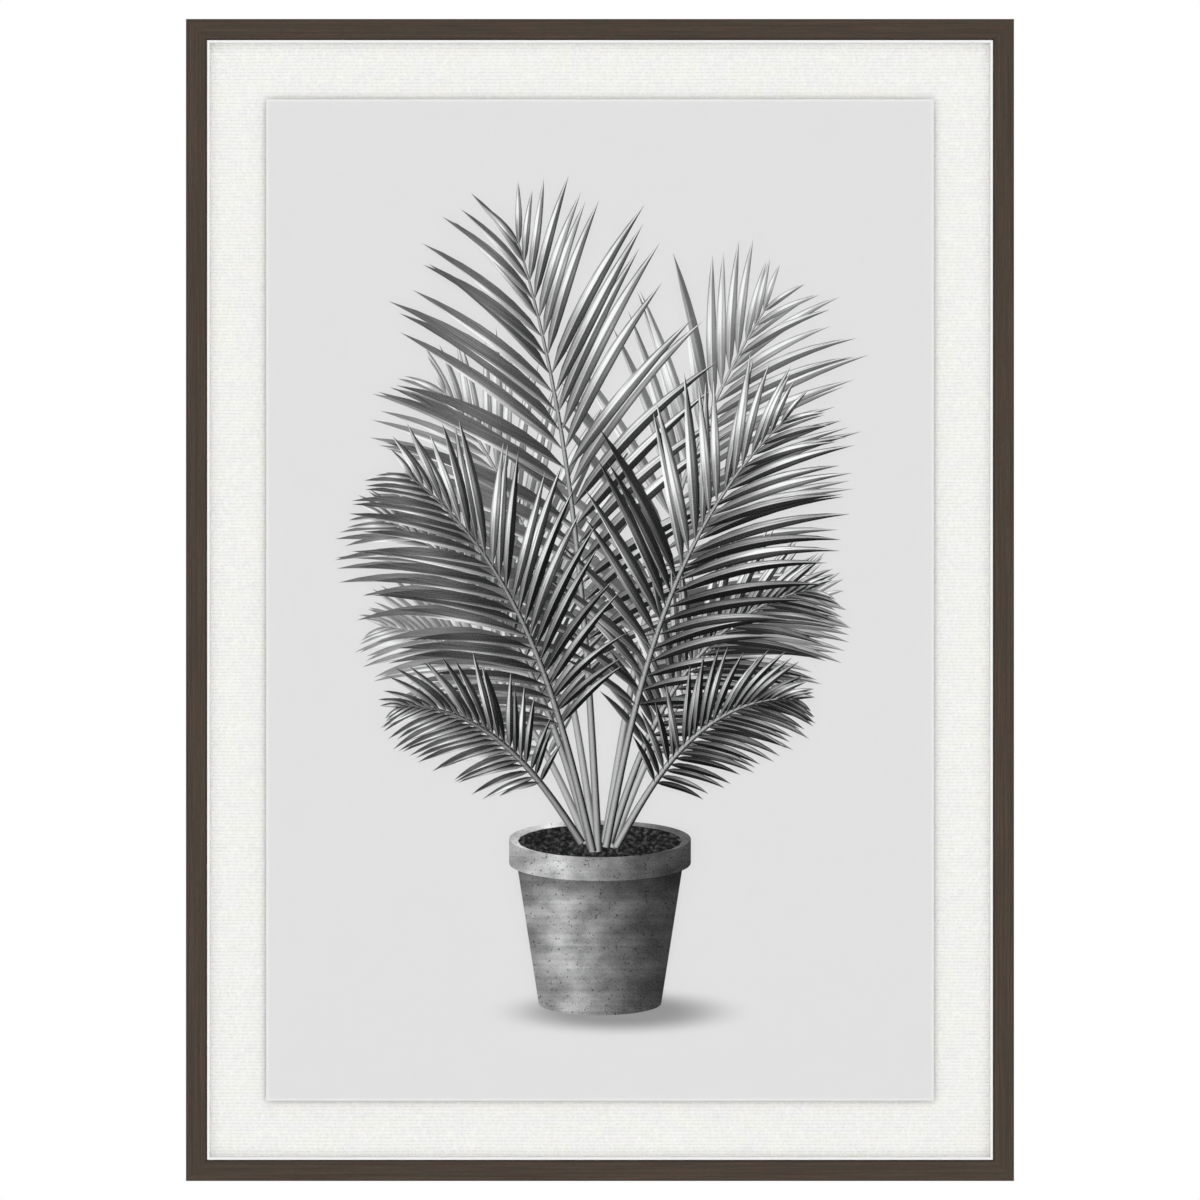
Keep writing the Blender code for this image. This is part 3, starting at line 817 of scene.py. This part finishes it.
def pot_ink(name, foot_share, stone_tone, under_rim):
    """Ink of the thrown pot: round shading from a light at the left, over mottled, specked stoneware.

    foot_share is the radius at the shape's foot, as a share of the one at its top. under_rim is how much
    of the light is left at its top.
    """
    material, tree, along, across, (added, *_) = start_ink(name)
    radius = add(tree, "Mix", {"Factor": along, "A": foot_share, "B": 1.0}, clamp_factor=False)
    turned = add(tree, "Math", {0: across, 1: radius}, operation="DIVIDE")
    round_place = add(tree, "MapRange", {"Value": turned, "From Min": -1.0, "From Max": 1.0})
    # From the right edge to the left one.
    stops = [(0.0, "#3A3A3A"), (0.2, "#4A4A4A"), (0.5, "#848484"), (0.76, "#D8D8D8"), (1.0, "#8A8A8A")]
    shading = add(tree, "ValToRGB", {"Fac": round_place}, stops=stops)
    shading.color_ramp.interpolation = "B_SPLINE"
    tone = add(tree, "Math", {0: shading, 1: 1 / TONE_CURVE}, operation="POWER")

    cloud = add(tree, "TexNoise", {"Vector": in_marks(tree, 26, 26, 18), "Scale": 1.0, "Detail": 6.0})
    clouded = {"Value": cloud, "From Min": 0.3, "From Max": 0.7}
    clouded |= {"To Min": 0.78 * stone_tone, "To Max": 1.18 * stone_tone}
    specks = add(tree, "TexNoise", {"Vector": in_marks(tree, 2.2, 2.2, 2.2), "Scale": 1.0})
    specked = {"Value": specks, "From Min": 0.64, "From Max": 0.70, "To Min": 1.0, "To Max": 0.6}
    rings = add(tree, "TexNoise", {"Vector": in_marks(tree, 300, 300, 3.5), "Scale": 1.0})
    thrown = {"Value": rings, "From Min": 0.3, "From Max": 0.7, "To Min": 0.94, "To Max": 1.06}
    shadow = {"Value": along, "From Min": 0.72, "From Max": 1.02, "To Min": 1.0, "To Max": under_rim}
    for texture in (clouded, specked, thrown, shadow):
        tone = add(tree, "Math", {0: tone, 1: add(tree, "MapRange", texture)}, operation="MULTIPLY")
    tone = add(tree, "Math", {0: tone, 1: added}, operation="ADD")
    lay_ink(tree, tone, 0.0)
    return material


def soil_ink():
    """Ink of the potting soil: dark crumbs."""
    material, tree, *_ = start_ink("pigment_ink_soil")
    crumbs = add(tree, "TexNoise", {"Vector": in_marks(tree, 4, 4, 3), "Scale": 1.0, "Detail": 4.0})
    crumbled = {"Value": crumbs, "From Min": 0.4, "From Max": 0.75, "To Min": 0.06, "To Max": 0.4}
    lay_ink(tree, add(tree, "MapRange", crumbled), 0.0)
    return material


picture = bpy.data.objects.new("print", picture_mesh())
inks = [
    cotton_paper(),
    blade_ink(),
    stem_ink(),
    pot_ink("pigment_ink_pot", POT_FOOT_RADIUS / POT_TOP_RADIUS, stone_tone=0.93, under_rim=0.45),
    pot_ink("pigment_ink_rim", 1.0, stone_tone=1.0, under_rim=1.0),
    soil_ink(),
    plain_board("grey_chipboard", [(0.3, "#6E6B66"), (0.7, "#84817B")], 1.5),
]
for ink in inks:
    picture.data.materials.append(ink)
bpy.context.scene.collection.objects.link(picture)
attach(picture, "root")
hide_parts("print_sheet")

# ---------------------------------------------------------------------------------------------------
# Dust cover. One sheet of brown kraft paper, glued damp to the backs of the rails and trimmed short of
# their edges. It has dried a little slack, with shallow puckers that fan out from its corners.
# ---------------------------------------------------------------------------------------------------

cover_low, cover_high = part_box("dust_cover")
COVER_STEP = 7 * MILLIMETRE
GLUED_WIDTH = 10 * MILLIMETRE
COVER_SAG = 1.8 * MILLIMETRE
SLACK_REACH = 35 * MILLIMETRE
PUCKER_DEPTH = 0.4 * MILLIMETRE
PUCKER_REACH = 140 * MILLIMETRE
PUCKERS_ROUND_CORNER = 22
PAPER_WAVES = 7


def slack_paper_mesh():
    """The cover's back face: flat where it is glued, and sagging into the hollow between the rails."""
    draw = np.random.default_rng(3)
    x, z = np.meshgrid(
        even_steps(cover_low.x, cover_high.x, COVER_STEP), even_steps(cover_low.z, cover_high.z, COVER_STEP)
    )
    from_side = np.clip(np.minimum(x - cover_low.x, cover_high.x - x) - GLUED_WIDTH, 0.0, None)
    from_end = np.clip(np.minimum(z - cover_low.z, cover_high.z - z) - GLUED_WIDTH, 0.0, None)
    slack = 1 - np.exp(-np.minimum(from_side, from_end) / SLACK_REACH)
    sag = COVER_SAG * slack * (1 + 0.25 * np.sin(9 * x + 1.0) * np.sin(7 * z))

    round_corner = np.arctan2(from_end + GLUED_WIDTH, from_side + GLUED_WIDTH)
    from_corner = np.hypot(from_side, from_end)
    folds = np.sin(PUCKERS_ROUND_CORNER * round_corner + 2.0 * np.sin(6 * x))
    fan = folds * np.exp(-from_corner / PUCKER_REACH)
    waves = np.zeros_like(x)
    for _ in range(PAPER_WAVES):
        along, across = draw.uniform(-45, 45), draw.uniform(-30, 30)
        waves += np.sin(along * x + across * z + draw.uniform(0, 2 * np.pi)) / PAPER_WAVES
    y = cover_high.y - sag + PUCKER_DEPTH * slack * (1.4 * fan + 1.6 * waves)

    index = np.arange(x.size).reshape(x.shape)
    faces = np.stack([index[:-1, :-1], index[1:, :-1], index[1:, 1:], index[:-1, 1:]], axis=-1)
    points = np.stack([x, np.minimum(y, cover_high.y), z], axis=-1)
    mesh = bpy.data.meshes.new("dust_cover_paper")
    mesh.from_pydata(points.reshape(-1, 3).tolist(), [], faces.reshape(-1, 4).tolist())
    mesh.shade_smooth()
    return mesh


def kraft_paper():
    """Unbleached kraft from a paper machine: brown, faintly cloudy, and flecked with single fibres."""
    material, tree = new_finish("brown_kraft_paper")
    cloud = add(tree, "TexNoise", {"Vector": in_marks(tree, 7, 500, 9), "Scale": 1.0, "Detail": 5.0})
    colour = add(tree, "ValToRGB", {"Fac": cloud}, stops=[(0.30, "#9D7E55"), (0.70, "#AA8B60")])
    # Fibres are 0.03 mm wide. They are drawn as wider flecks, so that they show.
    fibres = {}
    for number, (across, up) in enumerate(((4.5, 0.9), (0.9, 4.0))):
        marks = in_marks(tree, across, 500, up)
        fibres[number] = add(tree, "TexNoise", {"Vector": marks, "Scale": 1.0, "Detail": 1.0})
    longest = add(tree, "Math", fibres, operation="MAXIMUM")
    fleck = add(tree, "MapRange", {"Value": longest, "From Min": 0.69, "From Max": 0.77, "To Max": 0.5})
    flecked = add(tree, "Mix", {"Factor": fleck, "A": colour, "B": linear("#6B4E30")}, data_type="RGBA")

    # Pressed onto the dark rails by the glue, its border is a shade deeper.
    from_side = in_from_edge(tree, "X", FRAME_MIDDLE["X"], (cover_high.x - cover_low.x) / 2)
    from_end = in_from_edge(tree, "Z", FRAME_MIDDLE["Z"], (cover_high.z - cover_low.z) / 2)
    nearest = add(tree, "Math", {0: from_side, 1: from_end}, operation="MINIMUM")
    glued = {"Value": nearest, "From Min": GLUED_WIDTH, "From Max": GLUED_WIDTH + 1.5 * MILLIMETRE}
    glued |= {"To Min": 0.86, "To Max": 1.0}
    deepened = add(tree, "VectorMath", {0: flecked, "Scale": add(tree, "MapRange", glued)}, operation="SCALE")
    bump = add(tree, "Bump", {"Height": cloud, "Strength": 0.3, "Distance": 0.05 * MILLIMETRE})
    surface = {"Base Color": deepened, "Roughness": 0.66, "IOR": 1.5, "Normal": bump}
    add(tree, "OutputMaterial", {"Surface": add(tree, "BsdfPrincipled", surface)})
    return material


cover = bpy.data.objects.new("dust_cover_paper", slack_paper_mesh())
cover.data.materials.append(kraft_paper())
bpy.context.scene.collection.objects.link(cover)
paper_thickness = cover.modifiers.new("paper_thickness", "SOLIDIFY")
paper_thickness.thickness = cover_high.y - cover_low.y
paper_thickness.offset = -1.0
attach(cover, "root")
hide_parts("dust_cover")

# ---------------------------------------------------------------------------------------------------
# Hangers and bumpers. Two sawtooth hangers of brass-plated steel are pinned through the paper to the
# top rail, and soft rubber bumpers are stuck on at the lower corners, to keep the frame off the wall.
# ---------------------------------------------------------------------------------------------------


def moulded_rubber():
    """Soft moulded rubber: near black and dull, with a fine bloom."""
    material, tree = new_finish("moulded_rubber")
    bloom = add(tree, "TexNoise", {"Vector": in_marks(tree, 0.6, 0.6, 0.6), "Scale": 1.0})
    colour = add(tree, "ValToRGB", {"Fac": bloom}, stops=[(0.3, "#2F2F31"), (0.7, "#454547")])
    surface = {"Base Color": colour, "Roughness": 0.85, "IOR": 1.52}
    add(tree, "OutputMaterial", {"Surface": add(tree, "BsdfPrincipled", surface)})
    return material


brass_plate = plated_steel("brass_plated_steel", [(0.30, "#B59B60"), (0.70, "#C8B077")], 0.34)
rubber = moulded_rubber()
for side in ("left", "right"):
    dress(f"sawtooth_hanger_{side}", brass_plate)
    dress(f"nail_head_{side}_outer", brass_plate)
    dress(f"nail_head_{side}_inner", brass_plate)
    dress(f"bumper_{side}", rubber)

# ---------------------------------------------------------------------------------------------------
# Studio. The print hangs at its usual height over a pale floor, in a white room that is brightest in
# front of it and behind it, so that it is lit softly and evenly, with only faint shadows at its edges.
# ---------------------------------------------------------------------------------------------------

scene = bpy.context.scene
scene.view_settings.view_transform = "Standard"
low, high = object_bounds()
middle = (low + high) / 2

FLOOR_DROP = 0.95
FLOOR_SIZE = 2.0
bpy.ops.mesh.primitive_plane_add(size=FLOOR_SIZE, location=(0, 0, low.z - FLOOR_DROP))
floor = bpy.context.object
floor.name = "studio_floor"
floor_paint, floor_tree = new_finish("pale_floor_paint")
matt_paint = add(floor_tree, "BsdfPrincipled", {"Base Color": linear("#EFEEEB"), "Roughness": 0.7})
add(floor_tree, "OutputMaterial", {"Surface": matt_paint})
floor.data.materials.append(floor_paint)

# How bright the room is ahead of the picture and at its sides, and between which angles from straight
# ahead it fades. The camera sees plain white. A polished surface sees a dim room, so that the acrylic
# stays clear, but for a bright window behind the frame.
FACING_LIGHT = 1.52
SIDE_LIGHT = 0.12
FADES_FROM = math.radians(38)
FADES_TO = math.radians(62)
MIRRORED_ROOM = 0.25
MIRRORED_WINDOW = 0.9
world = bpy.data.worlds.new("white_room")
scene.world = world
world.use_nodes = True
room = world.node_tree
room.nodes.clear()
direction = add(room, "SeparateXYZ", {0: add(room, "TexCoord").outputs["Generated"]}).outputs["Y"]
lobe = {
    "Value": add(room, "Math", {0: direction}, operation="ABSOLUTE"),
    "From Min": math.cos(FADES_TO),
    "From Max": math.cos(FADES_FROM),
    "To Min": SIDE_LIGHT,
    "To Max": FACING_LIGHT,
}
glow = add(room, "MapRange", lobe, interpolation_type="SMOOTHSTEP")
rays = add(room, "LightPath").outputs
window = {"Value": direction, "From Min": 0.75, "From Max": 0.9}
window |= {"To Min": MIRRORED_ROOM, "To Max": MIRRORED_WINDOW}
mirrored = add(room, "MapRange", window)
lit = add(room, "Mix", {"Factor": rays["Is Glossy Ray"], "A": glow, "B": mirrored})
strength = add(room, "Mix", {"Factor": rays["Is Camera Ray"], "A": lit, "B": 1.0})
sky = add(room, "Background", {"Color": linear("#FFFFFF"), "Strength": strength})
add(room, "OutputWorld", {"Surface": sky})

CAMERA_AWAY = 8.0
VIEW_WIDTH = 1.095
SENSOR = 36.0
camera_data = bpy.data.cameras.new("camera")
camera_data.sensor_width = SENSOR
camera_data.lens = SENSOR * CAMERA_AWAY / VIEW_WIDTH
camera = bpy.data.objects.new("camera", camera_data)
camera.location = (middle.x, low.y - CAMERA_AWAY, middle.z)
camera.rotation_euler = (math.radians(90), 0, 0)
scene.collection.objects.link(camera)
scene.camera = camera
